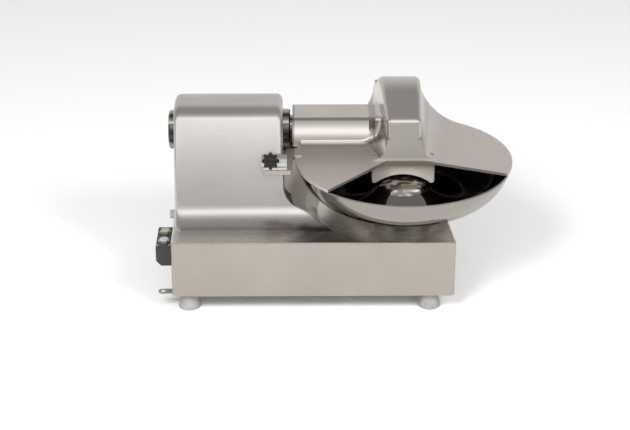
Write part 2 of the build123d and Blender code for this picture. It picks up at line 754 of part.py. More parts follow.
def build_shaft_housings():
    left = column_left
    seat = left + 14
    hub = [
        (left - hub_out, 20), (left - hub_out, hub_r - 4), (left - hub_out + 4, hub_r), (left, hub_r),
        (left, 36), (seat + bearing_w, 36), (seat + bearing_w, bearing_r), (seat, bearing_r), (seat, 20),
    ]
    pieces["attachment_hub"] = turned(hub, knife_axle)
    first = bearing(seat, bearing_w, bearing_r, shaft_r + run_fit, knife_axle)
    right = column_right
    seat = right - 12 - bearing_w
    collar = [
        (seat, bearing_r), (seat + bearing_w, bearing_r), (seat + bearing_w, 19), (right + collar_w, 19),
        (right + collar_w, 24), (right + collar_w + nose_w, 24), (right + collar_w + nose_w, nose_r),
        (right + collar_w, nose_r), (right + collar_w, collar_r - 3), (right + collar_w - 3, collar_r),
        (right, collar_r), (right, 40), (seat, 40),
    ]
    pieces["bearing_collar"] = turned(collar, knife_axle)
    pieces["shaft_bearings"] = first + bearing(seat, bearing_w, bearing_r, shaft_r + run_fit, knife_axle)
    x = right + collar_w
    ring = [(x, shaft_r + run_fit), (x, 24), (x + nose_w - 2, 24), (x + nose_w - 2, shaft_r + run_fit)]
    pieces["shaft_seal"] = turned(ring, knife_axle)


def pulley(axle):
    """Grooved pulley with a recessed web."""
    x0 = pulley_x - pulley_w / 2
    x1 = pulley_x + pulley_w / 2
    g0 = pulley_x - belt_w / 2 - soft_fit
    g1 = pulley_x + belt_w / 2 + soft_fit
    r_out = pulley_r + 4
    r_groove = pulley_r - belt_t + 2 - soft_fit
    points = [
        (x0, 0), (x0, 22), (x0 + 4, 22), (x0 + 4, 28), (x0, 28), (x0, r_out), (g0, r_out), (g0, r_groove),
        (g1, r_groove), (g1, r_out), (x1, r_out), (x1, 0),
    ]
    return turned(points, axle)


def build_belt_drive():
    knife_bore = along_x(Pos(shaft_y, shaft_z) * Circle(shaft_r), pulley_x - 40, pulley_x + 40)
    motor_bore = along_x(Pos(motor_y, motor_z) * Circle(motor_shaft_r), pulley_x - 40, pulley_x + 40)
    pieces["shaft_pulley"] = pulley(knife_axle) - knife_bore
    pieces["motor_pulley"] = pulley(motor_axle) - motor_bore
    span = math.hypot(shaft_y - motor_y, shaft_z - motor_z)
    turn = math.degrees(math.atan2(shaft_z - motor_z, shaft_y - motor_y))
    outer = SlotCenterToCenter(span, 2 * (pulley_r + 2))
    inner = SlotCenterToCenter(span, 2 * (pulley_r + 2 - belt_t))
    loop = Pos((shaft_y + motor_y) / 2, (shaft_z + motor_z) / 2) * Rot(0, 0, turn) * (outer - inner)
    pieces["drive_belt"] = along_x(loop, pulley_x - belt_w / 2, pulley_x + belt_w / 2)


# Motor and worm shaft


def build_motor():
    left = motor_left
    right = motor_right
    bore = motor_shaft_r + run_fit
    frame = along_x(Pos(motor_y, motor_z) * (Circle(motor_r) - Circle(motor_r - 6)), left + bell_t, right - bell_t)
    fins = Part()
    for i in range(14):
        place = Plane(origin=(left + bell_t + 4, motor_y, motor_z), x_dir=(0, 1, 0), z_dir=(1, 0, 0))
        turn = i * 360 / 14
        fin = Rot(0, 0, turn) * Pos(motor_r + 2, 0) * Rectangle(8, 3)
        if abs((turn + 90) % 360 - 0) > 40 and abs((turn + 90) % 360 - 360) > 40:
            fins = fins + extrude(place * fin, right - left - 2 * bell_t - 8)
    pieces["motor_frame"] = frame + fins
    stator = Pos(motor_y, motor_z) * (Circle(motor_r - 6) - Circle(motor_core_r + 0.8))
    pieces["motor_stator"] = along_x(stator, left + bell_t + 12, right - bell_t - 12)
    bell = [(0, bore), (0, 26), (6, 30), (10, motor_r), (bell_t, motor_r), (bell_t, motor_r - 8), (bell_t - 4, 30), (bell_t, 24), (bell_t, bore)]
    first = turned([(left + x, r) for x, r in bell], motor_axle)
    pieces["motor_bells"] = first + turned([(right - x, r) for x, r in bell], motor_axle)
    foot_top = motor_z - 30
    foot = block((left + bell_t + 8, motor_y - 45, base_low + plate_t), (right - bell_t - 8, motor_y + 45, foot_top))
    pieces["motor_cradle"] = foot - along_x(Pos(motor_y, motor_z) * Circle(motor_r + 6.5), left, right)
    core = [
        (pulley_x - pulley_w / 2 - 6, 0), (pulley_x - pulley_w / 2 - 6, motor_shaft_r), (left + 30, motor_shaft_r),
        (left + 30, motor_core_r), (right - 30, motor_core_r), (right - 30, motor_shaft_r), (right + 20, motor_shaft_r),
        (right + 20, 0),
    ]
    pieces["motor_rotor"] = turned(core, motor_axle)


def build_worm_shaft():
    r = motor_shaft_r - 2
    start = motor_right + 22
    end = worm_block_x + worm_block_w / 2 + 4
    pieces["worm_shaft"] = turned([(start, 0), (start, r), (end, r), (end, 0)], motor_axle)
    x0 = motor_right + 4
    x1 = start + 18
    half = [(x0, motor_shaft_r), (x0, 20), (x1, 20), (x1, r), (start, r), (start, motor_shaft_r)]
    pieces["shaft_coupling"] = turned(half, motor_axle)
    floor = base_low + plate_t
    side = profile(
        [
            (motor_y - 30, floor), (motor_y - 21, motor_z), (motor_y - 21, motor_z + 21),
            (motor_y + 21, motor_z + 21), (motor_y + 21, motor_z), (motor_y + 30, floor),
        ],
        [0, 10, 18, 18, 10, 0],
    )
    side = side - Pos(motor_y, motor_z) * Circle(r + run_fit)
    half = worm_block_w / 2
    pieces["worm_blocks"] = Part() + [
        along_x(side, x - half, x + half) for x in (-worm_block_x, worm_block_x)
    ]


def build_carrier():
    """Flanged sleeve through the base top with the two spindle bearings."""
    low = base_top - carrier_h
    sleeve = [
        (low, spindle_bearing_r), (low, 36), (base_top, 36), (base_top, carrier_r), (base_top + 6, carrier_r),
        (base_top + 6, spindle_bearing_r), (base_top - 7, spindle_bearing_r), (base_top - 12, spindle_bearing_r - 5),
        (low + 15, spindle_bearing_r - 5), (low + 15, spindle_bearing_r),
    ]
    carrier = turned(sleeve, bowl_axle)
    screws = Part()
    for place in PolarLocations(44, 4, start_angle=45):
        at = place.position
        screws = screws + screw(at.X, at.Y, base_top + 6, (0, 0, -1), 2.5, 10, 4.2, 4)
    pieces["spindle_carrier"] = carrier - screws
    fit = spindle_r + run_fit
    pieces["spindle_bearings"] = Part() + [
        bearing(z, spindle_bearing_w, spindle_bearing_r, fit, bowl_axle) for z in (low, base_top - 7)
    ]
    skirt = [(base_top + 14, 62), (base_top + 50, spindle_r), (base_top + 56, spindle_r), (base_top + 56, spindle_r + 4), (base_top + 16, 65), (base_top + 10, 65), (base_top + 10, 62)]
    pieces["drip_skirt"] = turned(skirt, bowl_axle)
    return screws



# Latch: block on the lid's tab, star knob, clamp nut and keeper


def lock_plane(rise):
    """Plane square to the column's leaning front, through the knob's axis, at a distance off the wall."""
    reach_y = barrel_y - wall_y(barrel_z + latch_rise)
    off = -reach_y * math.cos(math.radians(lean))
    tilt = math.radians(lean)
    normal = (0, -math.cos(tilt), math.sin(tilt))
    centre = Vector(latch_x, barrel_y, barrel_z + latch_rise)
    return Plane(origin=centre + Vector(*normal) * (rise - off), x_dir=(1, 0, 0), z_dir=normal), off


def build_latch():
    wall, barrel_off = lock_plane(0)
    barrel = along_x(Pos(barrel_y, barrel_z) * Circle(barrel_r), barrel_left, barrel_right)
    foot = block(
        (barrel_left + 4, barrel_y - 13, lid_low + tab_t), (barrel_right, barrel_y + 13, barrel_z)
    )
    bore = extrude(wall * Circle(stud_r + run_fit), 90)
    pieces["latch_block"] = barrel + foot - bore
    front = barrel_off + barrel_r
    face, _ = lock_plane(front + soft_fit)
    lobes = [Pos(*polar(knob_r - 4.2, i * 360 / knob_lobes)) * Circle(4.2) for i in range(knob_lobes)]
    waist = Circle(knob_r - 5)
    body = extrude(face * Plane.XY.offset(5) * (waist + lobes), knob_t - 5)
    body = chamfer(body.faces().sort_by(Axis(face.origin, face.z_dir))[-1].edges(), 1.2)
    neck = extrude(face * Circle(11), 5)
    dish = extrude(face * Plane.XY.offset(knob_t - 1.5) * Circle(9), 1.5)
    socket = extrude(face * Circle(stud_r), knob_t - 4)
    pieces["star_knob"] = body + neck - dish - socket
    start, _ = lock_plane(2.5)
    pieces["lock_stud"] = extrude(start * Circle(stud_r), front + soft_fit + knob_t - 4 - 2.5)
    nut_plane, _ = lock_plane(3.0)
    pieces["lock_nut"] = extrude(nut_plane * (RectangleRounded(17, 17, 3) - Circle(stud_r + run_fit)), 6)
    plate_plane, _ = lock_plane(9 + nut_travel + keeper_gap)
    slot = Rectangle(2 * stud_r + 1.5, 40, align=(Align.CENTER, Align.MIN)) + Circle(stud_r + 0.75)
    plate = RectangleRounded(44, 24, 4) - slot
    keeper = extrude(plate_plane * Pos(0, -3) * plate, 4.5)
    for side in (-1, 1):
        leg = Pos(side * 19.5, -3) * Rectangle(5, 24)
        keeper = keeper + extrude(wall * leg, 9 + nut_travel + keeper_gap + 1)
    pieces["keeper"] = keeper


# Switch box, buttons and cable entry


def build_switch_box():
    right = base_left
    left = base_left - box_x
    outline = profile(
        [(right, box_z_low), (left + 12, box_z_low), (left, box_z_low + 13), (left, box_z_top), (right, box_z_top)],
        [0, 3, 3, 2, 0],
    )
    box = along_y(outline, box_y_front, box_y_back)
    inner = offset(outline, amount=-box_wall)
    box = box - along_y(inner, box_y_front + box_wall, box_y_back - box_wall)
    rim = (
        (left + box_wall, box_y_front + box_wall, box_z_top - 10),
        (right - box_wall, box_y_back - box_wall, box_z_top + 1),
    )
    box = box - block(*rim)
    middle = base_left - box_x / 2
    panel = profile(
        [(left + 1, box_y_front + 1), (right - 1, box_y_front + 1), (right - 1, box_y_back - 1), (left + 1, box_y_back - 1)],
        [4, 4, 4, 4],
    )
    panel = extrude(Plane.XY.offset(box_z_top) * panel, panel_t)
    top = box_z_top + panel_t
    span = box_y_back - box_y_front
    places = {"start": box_y_back - 0.29 * span, "stop": box_y_front + 0.24 * span}
    bezels = Part()
    contacts = Part()
    for name, y in places.items():
        axle = Plane(origin=(middle, y, 0), x_dir=(0, 0, 1), z_dir=(0, -1, 0))
        panel = panel - extrude(Plane.XY.offset(box_z_top) * Pos(middle, y) * Circle(stem_r + soft_fit), panel_t)
        bezel = [(top, button_r + soft_fit), (top, button_r + 3), (top + 2.5, button_r + 3), (top + 3.5, button_r + 2), (top + 3.5, button_r + soft_fit)]
        bezels = bezels + turned(bezel, axle)
        low = top + button_travel + 0.5
        cap = [
            (low, 0), (low, button_r), (low + 3, button_r), (low + 4.2, button_r - 1.5), (low + 4.2, 0),
        ]
        stem = [(box_z_top - 6, 0), (box_z_top - 6, stem_r), (low, stem_r), (low, 0)]
        pieces[f"{name}_button"] = turned(cap, axle) + turned(stem, axle)
        well = [
            (box_z_top - 26, 0), (box_z_top - 26, 10), (box_z_top, 10), (box_z_top, stem_r + soft_fit),
            (box_z_top - 6 - button_travel - 1, stem_r + soft_fit), (box_z_top - 6 - button_travel - 1, 0),
        ]
        contacts = contacts + turned(well, axle)
    pieces["button_bezels"] = bezels
    pieces["contact_blocks"] = contacts
    screws = Part()
    for x in (left + 5, right - 5):
        for y in (box_y_front + 5, box_y_back - 5):
            screws = screws + screw(x, y, top, (0, 0, -1), 1.2, panel_t + 2.0, 2.6, 1.8)
    pieces["switch_panel"] = panel - screws
    lugs = Part()
    for x in (left + 4, right - 4):
        for y in (box_y_front + 4, box_y_back - 4):
            lugs = lugs + Pos(x, y, box_z_top - 5) * Box(5, 5, 10)
    box = box + (lugs & block((left, box_y_front, box_z_top - 12), (right, box_y_back, box_z_top))) - screws
    duct = Plane(origin=(base_left + 1, (box_y_front + box_y_back) / 2, 140), z_dir=(-1, 0, 0))
    box = box - extrude(duct * Circle(8), box_wall + 2)
    pieces["switch_box"] = box
    pieces["panel_screws"] = screws
    return extrude(duct * Circle(8), -cast_wall - 3)


def build_gland():
    axle = Plane(origin=(0, gland_y, gland_z), x_dir=(1, 0, 0), z_dir=(0, -1, 0))
    face = base_left
    body = [
        (face - gland_out, gland_bore), (face - gland_out, 9), (face - gland_out + 3, 11), (face - 5, 11),
        (face - 5, 13), (face, 13), (face, 8), (face + cast_wall + 9, 8), (face + cast_wall + 9, gland_bore),
    ]
    nut = Plane(origin=(face + cast_wall, gland_y, gland_z), x_dir=(0, 1, 0), z_dir=(1, 0, 0))
    lock_ring = extrude(nut * (RegularPolygon(13, 6) - Circle(8)), 5)
    pieces["cable_gland"] = Compound([*turned(body, axle).solids(), *lock_ring.solids()])
    return turned([(face - 1, 0), (face - 1, 8), (face + cast_wall + 1, 8), (face + cast_wall + 1, 0)], axle)


def build_comb_screws():
    """Screws of the splash plate, and the spot faces that seat their heads."""
    y = comb_y + comb_t / 2
    screws = Part()
    for x in (-comb_w / 2 + 8, comb_w / 2 - 8):
        screws = screws + screw(x, y, lid_top, (0, 0, -1), 2.5, lid_t + 9, 4.2, 3)
    faces = discs(Plane.XY.offset(lid_top), [Pos(x, y) for x in (-comb_w / 2 + 8, comb_w / 2 - 8)], 5.2, 20)
    return screws, faces


seat_z = build_bowl()
wheel_z = build_spindle(seat_z)
build_worm_wheel(wheel_z)
build_worm()
housing = build_housing()
base_plate, foot_bolts, plate_screws = build_base_parts()
build_strap()
hinge_screws = build_hinge()
carrier_screws = build_carrier()
duct = build_switch_box()
entry = build_gland()
collar_room = turned(
    [(column_right, 0), (column_right, collar_r + 1), (column_right + 40, collar_r + 1), (column_right + 40, 0)],
    knife_axle,
)
pieces["cap_screws"] = Compound([*plate_screws.solids(), *carrier_screws.solids()])
pieces["housing"] = housing - foot_bolts - plate_screws - hinge_screws - carrier_screws - duct - entry - collar_room
pieces["base_plate"] = base_plate
comb_screws, spot_faces = build_comb_screws()
pieces["lid"] = build_lid() - spot_faces - comb_screws
pieces["splash_comb"] = build_comb() - comb_screws
pieces["comb_screws"] = comb_screws
shaft_end = build_knives()
build_shaft(shaft_end)
build_shaft_housings()
build_belt_drive()
build_motor()
build_worm_shaft()
build_latch()

whole = Compound(children=[Compound(piece.solids()) for piece in pieces.values()])
box = whole.bounding_box()
origin_shift = Pos(-(box.min.X + box.max.X) / 2, -(box.min.Y + box.max.Y) / 2, -box.min.Z)
print("box", box.min, box.max, "shift", origin_shift.position)
os.makedirs("parts", exist_ok=True)
for name, piece in pieces.items():
    export_step(origin_shift * piece, f"parts/{name}.step")
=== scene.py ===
import bpy
import math
import numpy as np
from mathutils import Matrix, Vector


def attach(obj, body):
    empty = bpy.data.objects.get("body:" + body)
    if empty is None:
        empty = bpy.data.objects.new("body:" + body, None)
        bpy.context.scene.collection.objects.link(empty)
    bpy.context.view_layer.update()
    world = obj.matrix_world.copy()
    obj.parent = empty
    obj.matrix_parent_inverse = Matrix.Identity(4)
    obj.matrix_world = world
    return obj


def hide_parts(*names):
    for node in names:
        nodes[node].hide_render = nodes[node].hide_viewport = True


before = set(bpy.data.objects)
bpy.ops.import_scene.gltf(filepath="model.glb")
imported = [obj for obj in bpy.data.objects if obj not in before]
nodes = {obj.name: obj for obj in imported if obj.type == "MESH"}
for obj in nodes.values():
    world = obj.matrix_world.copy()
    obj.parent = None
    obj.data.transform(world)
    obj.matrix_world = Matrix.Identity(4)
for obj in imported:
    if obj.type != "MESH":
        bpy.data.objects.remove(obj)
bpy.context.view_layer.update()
scene = bpy.context.scene


# Camera: the photographer's place and lens
view = {
    "place": (-0.08457, -4.04765, 2.11903),
    "ahead": (0.00813121, 0.90050043, -0.4347791),
    "roll": 0.03,           # degrees
    "lens": 102.857,
    "film": 36.0,           # width of the film in mm
    "near": 0.05,
    "far": 60.0,
}


def placeCamera():
    cameraData = bpy.data.cameras.new("studioCamera")
    cameraData.lens = view["lens"]
    cameraData.sensor_width = view["film"]
    cameraData.clip_start = view["near"]
    cameraData.clip_end = view["far"]
    camera = bpy.data.objects.new("studioCamera", cameraData)
    scene.collection.objects.link(camera)
    ahead = Vector(view["ahead"]).normalized()
    roll = Matrix.Rotation(math.radians(view["roll"]), 4, "Z")
    turned = ahead.to_track_quat("-Z", "Y").to_matrix().to_4x4() @ roll
    camera.matrix_world = Matrix.Translation(view["place"]) @ turned
    scene.camera = camera


placeCamera()
print("camera placed")


# Node helpers
def newMaterial(name):
    material = bpy.data.materials.new(name)
    material.use_nodes = True
    tree = material.node_tree
    return material, tree, tree.nodes["Principled BSDF"]


# Inputs are given by name, or by number as n0, n1 and so on
def addNode(tree, kind, settings=None, **values):
    made = tree.nodes.new("ShaderNode" + kind)
    for key, value in (settings or {}).items():
        setattr(made, key, value)
    for key, value in values.items():
        place = int(key[1:]) if key[0] == "n" and key[1:].isdigit() else key
        socket = made.inputs[place]
        if isinstance(value, bpy.types.NodeSocket):
            tree.links.new(value, socket)
        else:
            socket.default_value = value
    return made


def objectPoint(tree, scale=(1, 1, 1), shift=(0, 0, 0)):
    point = addNode(tree, "TexCoord").outputs["Object"]
    return addNode(tree, "Mapping", Vector=point, Scale=scale, Location=shift).outputs["Vector"]


def places(tree, shift=(0, 0, 0)):
    parts = addNode(tree, "SeparateXYZ", Vector=objectPoint(tree, shift=shift))
    return parts.outputs["X"], parts.outputs["Y"], parts.outputs["Z"]


def noise(tree, point, scale, detail=3.0, rough=0.55):
    made = addNode(tree, "TexNoise", Vector=point, Scale=scale, Detail=detail, Roughness=rough)
    return made.outputs["Fac"]


def spread(tree, value, low, high, fromLow=0.3, fromHigh=0.7):
    made = addNode(tree, "MapRange", n0=value, n1=fromLow, n2=fromHigh, n3=low, n4=high)
    return made.outputs[0]


def combine(tree, operation, first, second):
    return addNode(tree, "Math", {"operation": operation}, n0=first, n1=second).outputs[0]


def distance(tree, first, second):
    squares = [combine(tree, "MULTIPLY", side, side) for side in (first, second)]
    return combine(tree, "SQRT", combine(tree, "ADD", *squares), 0.0)


def mixed(tree, mask, first, second):
    return addNode(tree, "Mix", n0=mask, n2=first, n3=second).outputs[0]


# Each tone is a colour or the output of a node
def blend(tree, mask, first, second):
    tones = [(*tone, 1) if isinstance(tone, tuple) else tone for tone in (first, second)]
    return addNode(tree, "Mix", {"data_type": "RGBA"}, n0=mask, n6=tones[0], n7=tones[1]).outputs[2]


def shaded(tree, tone, mask, factor):
    settings = {"data_type": "RGBA", "blend_type": "MULTIPLY"}
    return addNode(tree, "Mix", settings, n0=mask, n6=tone, n7=(*factor, 1)).outputs[2]


# A colour ramp through pairs of place and level; tint colours its greys
def along(tree, value, points, tint=(1, 1, 1)):
    ramp = addNode(tree, "ValToRGB", Fac=value)
    elements = ramp.color_ramp.elements
    while len(elements) < len(points):
        elements.new(0.5)
    for element, (place, level) in zip(elements, points):
        element.position = place
        element.color = (level * tint[0], level * tint[1], level * tint[2], 1)
    return ramp.outputs["Color"]


openLow, openHigh = -1.0, 1.0       # beyond the machine, where a zone has no end


# 1 where the value lies between two places, with a soft step of the given width at each end
def between(tree, value, low, high, soft):
    rise = spread(tree, value, 0.0, 1.0, low - soft, low + soft)
    fall = spread(tree, value, 1.0, 0.0, high - soft, high + soft)
    return combine(tree, "MULTIPLY", rise, fall)


def fromAxis(tree, axis):
    x, y, z = places(tree, (-axis[0], -axis[1], 0))
    return distance(tree, x, y)


# A wall that leans back more towards its top: with t the height above the start,
# its height falls as lean times t plus half of rise times t squared
def crowned(tree, crown):
    x, y, z = places(tree)
    settings = {"operation": "SUBTRACT", "use_clamp": True}
    above = addNode(tree, "Math", settings, n0=z, n1=crown["start"]).outputs[0]
    bend = combine(tree, "ADD", combine(tree, "MULTIPLY", above, 0.5 * crown["rise"]), crown["lean"])
    fall = combine(tree, "MULTIPLY", above, bend)
    if "right" in crown:
        inside = between(tree, x, openLow, crown["right"], crown["soft"])
        fall = combine(tree, "MULTIPLY", fall, inside)
    height = combine(tree, "MULTIPLY", fall, -1.0)
    return addNode(tree, "Bump", Strength=1.0, Distance=1.0, Height=height).outputs["Normal"]


def bumped(tree, shader, height, strength, depth, under=None):
    made = addNode(tree, "Bump", Strength=strength, Distance=depth, Height=height)
    if under:
        tree.links.new(under, made.inputs["Normal"])
    tree.links.new(made.outputs["Normal"], shader.inputs["Normal"])


bowlAxis = (0.1685, -0.0230082)


# Housing: the base box is rougher and darker, its flat top is made paler as painted light, the dished
# shoulder is satin, and a dark line of painted shade runs along the crease at the dish's edge
housingZones = {
    "boxTop": 0.1868, "boxSoft": 0.0012, "boxFactor": (0.70, 0.66, 0.62), "boxRough": 0.44,
    # a paler tone on the box's flat top: painted light
    "topPaintedLight": (0.90, 0.855, 0.81), "topPaintedLightHigh": 0.1886,
    "wallY": -0.0970, "wallZ": 0.188, "wallLean": 0.279,        # the leaning front wall
    "dishLeft": -0.1285, "dishLow": 0.190, "dishTop": 0.3125,
    "dishTone": (0.86, 0.80, 0.745), "dishRough": 0.46, "edgeStep": 0.0012,
    "crisp": 0.0006, "fine": 0.0004,                            # how soft the edges of the zones are
    # the dark line along the dish's edge is painted shade in the crease
    "creaseShadeTone": (0.11, 0.10, 0.09), "creaseShadeWidth": 0.0024,
    "creaseShadeLow": 0.191, "creaseShadeFade": 0.002, "creaseShadeBack": -0.02,
    "dishEdge": [       # height and radius of the dish about the bowl's axis
        (0.188, 0.209), (0.200, 0.224), (0.211, 0.238), (0.218, 0.250), (0.226, 0.265), (0.232, 0.275),
        (0.240, 0.2835), (0.250, 0.2905), (0.262, 0.295), (0.271, 0.296), (0.311, 0.296),
    ],
}


def housingZone(tree, tone, rough):
    look = housingZones
    x, y, z = places(tree)
    lean = combine(tree, "MULTIPLY", combine(tree, "SUBTRACT", z, look["wallZ"]), look["wallLean"])
    behind = combine(tree, "SUBTRACT", combine(tree, "SUBTRACT", y, look["wallY"]), lean)
    dishHeight = between(tree, z, look["dishLow"], look["dishTop"], look["crisp"])
    dishSide = between(tree, x, look["dishLeft"], openHigh, look["crisp"])
    dishDepth = between(tree, behind, look["edgeStep"], openHigh, look["fine"])
    dish = combine(tree, "MULTIPLY", combine(tree, "MULTIPLY", dishHeight, dishSide), dishDepth)
    edge = along(tree, z, look["dishEdge"])
    gap = combine(tree, "SUBTRACT", fromAxis(tree, bowlAxis), edge)
    creaseShadeAcross = between(tree, gap, -look["fine"], look["creaseShadeWidth"], look["fine"])
    creaseShadeHeight = between(tree, z, look["creaseShadeLow"], look["dishEdge"][-1][0], look["creaseShadeFade"])
    creaseShadeDepth = between(tree, y, openLow, look["creaseShadeBack"], look["creaseShadeFade"])
    creaseShade = combine(tree, "MULTIPLY", combine(tree, "MULTIPLY", creaseShadeAcross, creaseShadeHeight), creaseShadeDepth)
    box = between(tree, z, openLow, look["boxTop"], look["boxSoft"])
    paintedLightTop = between(tree, z, look["boxTop"], look["topPaintedLightHigh"], look["crisp"])
    tone = shaded(tree, tone, box, look["boxFactor"])
    # painted light: the box's flat top made paler
    tone = blend(tree, paintedLightTop, tone, look["topPaintedLight"])
    tone = blend(tree, dish, tone, look["dishTone"])
    # painted shade: a dark line along the crease at the dish's edge
    tone = blend(tree, creaseShade, tone, look["creaseShadeTone"])
    rough = mixed(tree, box, rough, look["boxRough"])
    return tone, mixed(tree, dish, rough, look["dishRough"])


# Bowl: brushed outside; inside a mirror whose colour is darkened as painted shade, and a dome whose colour is
# made bright as a painted highlight
bowlZones = {
    "ringR": 0.144, "ringZ": 0.347,         # centre of the trough's round section
    "skin": 0.12262, "skinSoft": 0.0002,    # the outside lies further from that centre than this
    "outside": (0.53, 0.475, 0.41), "outsideRough": 0.30,
    "outsideLow": (0.63, 0.575, 0.52), "lowZ": 0.262, "lowSoft": 0.012,
    # inside: the steel's colour darkened within the bowl, painted shade
    "inside": (0.30, 0.28, 0.25), "insideRough": 0.10,
    # the dome's colour is made bright: a painted highlight
    "domeR": 0.058, "domeSoft": 0.008, "dome": (0.85, 0.82, 0.80),
    "waves": 46, "waveHeight": 0.016,
}


def onDome(tree):
    return between(tree, fromAxis(tree, bowlAxis), openLow, bowlZones["domeR"], bowlZones["domeSoft"])


def bowlZone(tree, tone, rough):
    look = bowlZones
    z = places(tree)[2]
    across = combine(tree, "SUBTRACT", fromAxis(tree, bowlAxis), look["ringR"])
    down = combine(tree, "SUBTRACT", z, look["ringZ"])
    outside = between(tree, distance(tree, across, down), look["skin"], openHigh, look["skinSoft"])
    low = between(tree, z, openLow, look["lowZ"], look["lowSoft"])
    # inside the bowl: painted shade, with a painted highlight on the dome
    insideShadeDomeHighlight = blend(tree, onDome(tree), look["inside"], look["dome"])
    skin = blend(tree, low, look["outside"], look["outsideLow"])
    tone = blend(tree, outside, insideShadeDomeHighlight, skin)
    return tone, mixed(tree, outside, look["insideRough"], look["outsideRough"])


# The dome's skin is beaten a little uneven, so it catches the lights in patches
def domeWaves(tree):
    look = bowlZones
    height = combine(tree, "MULTIPLY", noise(tree, objectPoint(tree), look["waves"], 0.0), onDome(tree))
    return addNode(tree, "Bump", Strength=1.0, Distance=look["waveHeight"], Height=height).outputs["Normal"]


# Lid: the flat plate is satin and paler than the polished guard and tube; the tab's colour is darkened as
# painted shade
lidZones = {
    "plateTop": 0.3364, "plateSoft": 0.0012, "plateTone": (0.74, 0.675, 0.63), "plateRough": 0.46,
    # the tab's colour is darkened: painted shade
    "tabRight": -0.0985, "tabSoft": 0.001, "tabShadeFactor": (0.58, 0.57, 0.56),
}


def lidZone(tree, tone, rough):
    look = lidZones
    x, y, z = places(tree)
    plate = between(tree, z, openLow, look["plateTop"], look["plateSoft"])
    tabShade = between(tree, x, openLow, look["tabRight"], look["tabSoft"])
    tone = blend(tree, plate, tone, look["plateTone"])
    # painted shade: the tab's colour darkened
    tone = shaded(tree, tone, tabShade, look["tabShadeFactor"])
    return tone, mixed(tree, plate, rough, look["plateRough"])


zones = {"castAluminium": housingZone, "bowlSteel": bowlZone, "lidAluminium": lidZone}


# Metals: tone is mottled on a large scale, and fine lines follow the polishing direction
metals = {
    "castAluminium": {
        "light": (0.60, 0.575, 0.55), "dark": (0.565, 0.54, 0.515), "rough": (0.26, 0.28),
        "lines": (5, 60, 200), "bump": 0.0025, "crown": {"start": 0.19, "rise": 0.85, "lean": 0.0},
    },
    "lidAluminium": {
        "light": (0.64, 0.595, 0.555), "dark": (0.60, 0.555, 0.515), "rough": (0.20, 0.27),
        "lines": (12, 120, 260), "bump": 0.008,
        "crown": {"start": 0.3368, "rise": 12.5, "lean": 0.23, "right": 0.094, "soft": 0.008},
    },
    "sheetSteel": {
        "light": (0.52, 0.51, 0.50), "dark": (0.44, 0.43, 0.42), "rough": (0.30, 0.42),
        "lines": (15, 500, 500), "bump": 0.03,
    },
    "platedSteel": {
        "light": (0.66, 0.65, 0.63), "dark": (0.55, 0.54, 0.52), "rough": (0.18, 0.32),
        "lines": (300, 300, 300), "bump": 0.03,
    },
    "bearingSteel": {
        "light": (0.60, 0.60, 0.60), "dark": (0.52, 0.52, 0.52), "rough": (0.12, 0.2),
        "lines": (900, 60, 60), "bump": 0.03,
    },
    "stainless": {
        "light": (0.63, 0.59, 0.54), "dark": (0.57, 0.53, 0.48), "rough": (0.12, 0.20),
        "lines": (400, 400, 900), "bump": 0.02,
    },
    "bowlSteel": {
        "light": (0.63, 0.59, 0.54), "dark": (0.57, 0.53, 0.48), "rough": (0.12, 0.20),
        "lines": (200, 200, 900), "bump": 0.008,
    },
    "bladeSteel": {
        "light": (0.64, 0.64, 0.63), "dark": (0.55, 0.55, 0.54), "rough": (0.10, 0.2),
        "lines": (60, 60, 900), "bump": 0.03,
    },
    "bronze": {
        "light": (0.62, 0.42, 0.20), "dark": (0.50, 0.31, 0.14), "rough": (0.25, 0.4),
        "lines": (400, 400, 60), "bump": 0.03,
    },
    "castIron": {
        "light": (0.20, 0.20, 0.20), "dark": (0.13, 0.13, 0.13), "rough": (0.45, 0.6),
        "lines": (300, 300, 300), "bump": 0.15,
    },
    "darkSteel": {
        "light": (0.40, 0.39, 0.37), "dark": (0.26, 0.25, 0.24), "rough": (0.25, 0.4),
        "lines": (60, 200, 200), "bump": 0.06,
    },
    "combMetal": {
        "light": (0.74, 0.70, 0.61), "dark": (0.62, 0.58, 0.50), "rough": (0.40, 0.50),
        "lines": (60, 300, 300), "bump": 0.02, "metallic": 0.45,
    },
    "hingeMetal": {
        "light": (0.60, 0.575, 0.55), "dark": (0.54, 0.515, 0.49), "rough": (0.28, 0.38),
        "lines": (60, 90, 260), "bump": 0.02,
    },
    "barrelMetal": {
        "light": (0.64, 0.61, 0.58), "dark": (0.56, 0.53, 0.50), "rough": (0.44, 0.50),
        "lines": (60, 300, 300), "bump": 0.03,
    },
}
metalGrain = {"mottle": 9.0, "mottleRange": (0.35, 0.65), "detail": 4.0, "lineRough": 0.6, "depth": 0.0003}


def metal(name):
    look, grain = metals[name], metalGrain
    material, tree, shader = newMaterial(name)
    mottle = noise(tree, objectPoint(tree), grain["mottle"], grain["detail"])
    lines = noise(tree, objectPoint(tree, look["lines"]), 1.0, grain["detail"], grain["lineRough"])
    tone = blend(tree, spread(tree, mottle, 0, 1, *grain["mottleRange"]), look["dark"], look["light"])
    rough = spread(tree, lines, *look["rough"])
    if name in zones:
        tone, rough = zones[name](tree, tone, rough)
    tree.links.new(tone, shader.inputs["Base Color"])
    tree.links.new(rough, shader.inputs["Roughness"])
    shader.inputs["Metallic"].default_value = look.get("metallic", 1.0)
    under = crowned(tree, look["crown"]) if "crown" in look else None
    if name == "bowlSteel":
        under = domeWaves(tree)
    bumped(tree, shader, lines, look["bump"], grain["depth"], under)
    return material


